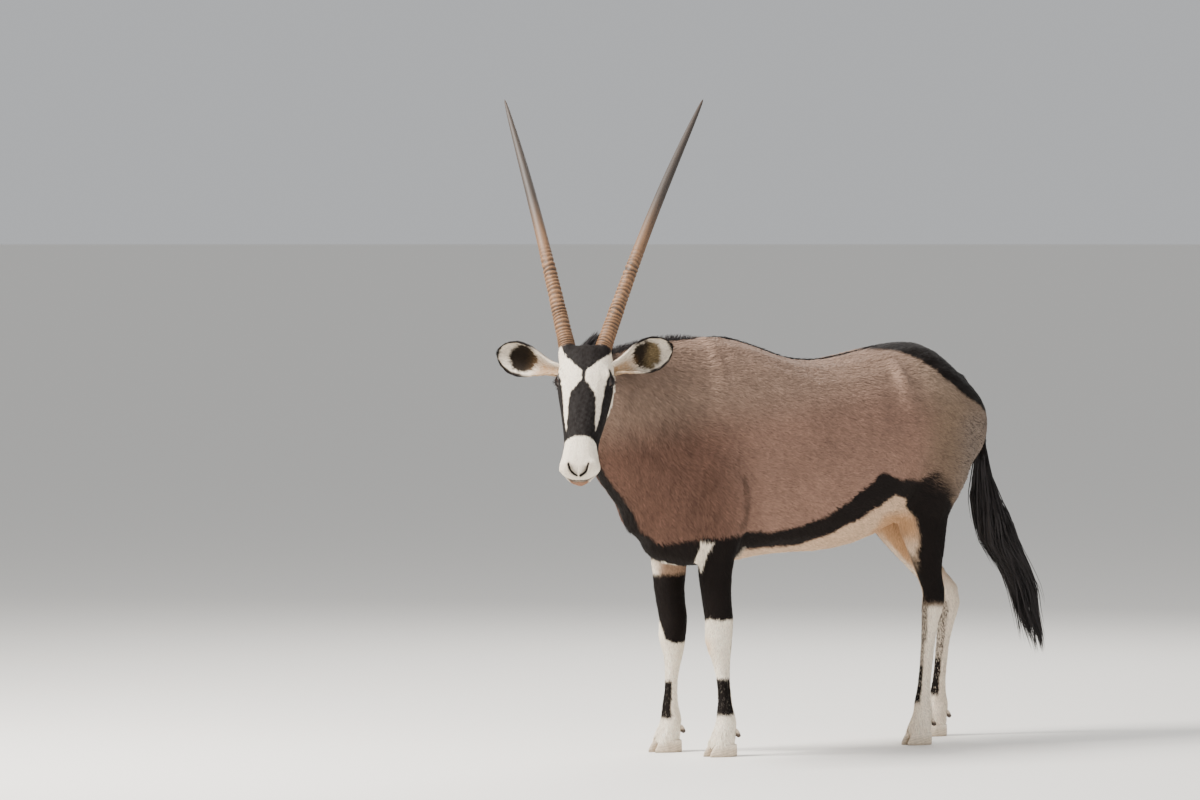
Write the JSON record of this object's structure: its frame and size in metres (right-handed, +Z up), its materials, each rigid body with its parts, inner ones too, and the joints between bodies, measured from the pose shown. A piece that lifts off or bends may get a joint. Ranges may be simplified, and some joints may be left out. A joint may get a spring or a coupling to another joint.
{
  "type": "gemsbok",
  "caption": "Standing life-size gemsbok with long straight ringed horns, a banded face, dark flank stripes and a hanging brush of a tail.",
  "frame": {"origin": "on the floor under the middle of the model's bounding box", "axes": "+X forward along the trunk, +Y to the animal's left, +Z up"},
  "size_m": [1.913, 0.762, 1.8722],
  "materials": {
    "coat": "short hair, matt",
    "long_hair": "long coarse hair",
    "horn": "keratin, satin",
    "hoof": "keratin, worn",
    "eye": "wet gloss"
  },
  "bodies": {
    "root": {"dewclaw_front_left_inner": "hoof", "dewclaw_front_left_outer": "hoof", "dewclaw_front_right_inner": "hoof", "dewclaw_front_right_outer": "hoof", "dewclaw_hind_left_inner": "hoof", "dewclaw_hind_left_outer": "hoof", "dewclaw_hind_right_inner": "hoof", "dewclaw_hind_right_outer": "hoof", "ear_left": "coat", "ear_right": "coat", "eye_left": "eye", "eye_right": "eye", "head": "coat", "hoof_front_left_inner": "hoof", "hoof_front_left_outer": "hoof", "hoof_front_right_inner": "hoof", "hoof_front_right_outer": "hoof", "hoof_hind_left_inner": "hoof", "hoof_hind_left_outer": "hoof", "hoof_hind_right_inner": "hoof", "hoof_hind_right_outer": "hoof", "horn_left": "horn", "horn_right": "horn", "leg_front_left": "coat", "leg_front_right": "coat", "leg_hind_left": "coat", "leg_hind_right": "coat", "mane": "long_hair", "neck": "coat", "tail": "long_hair", "torso": "coat"}
  },
  "joints": []
}
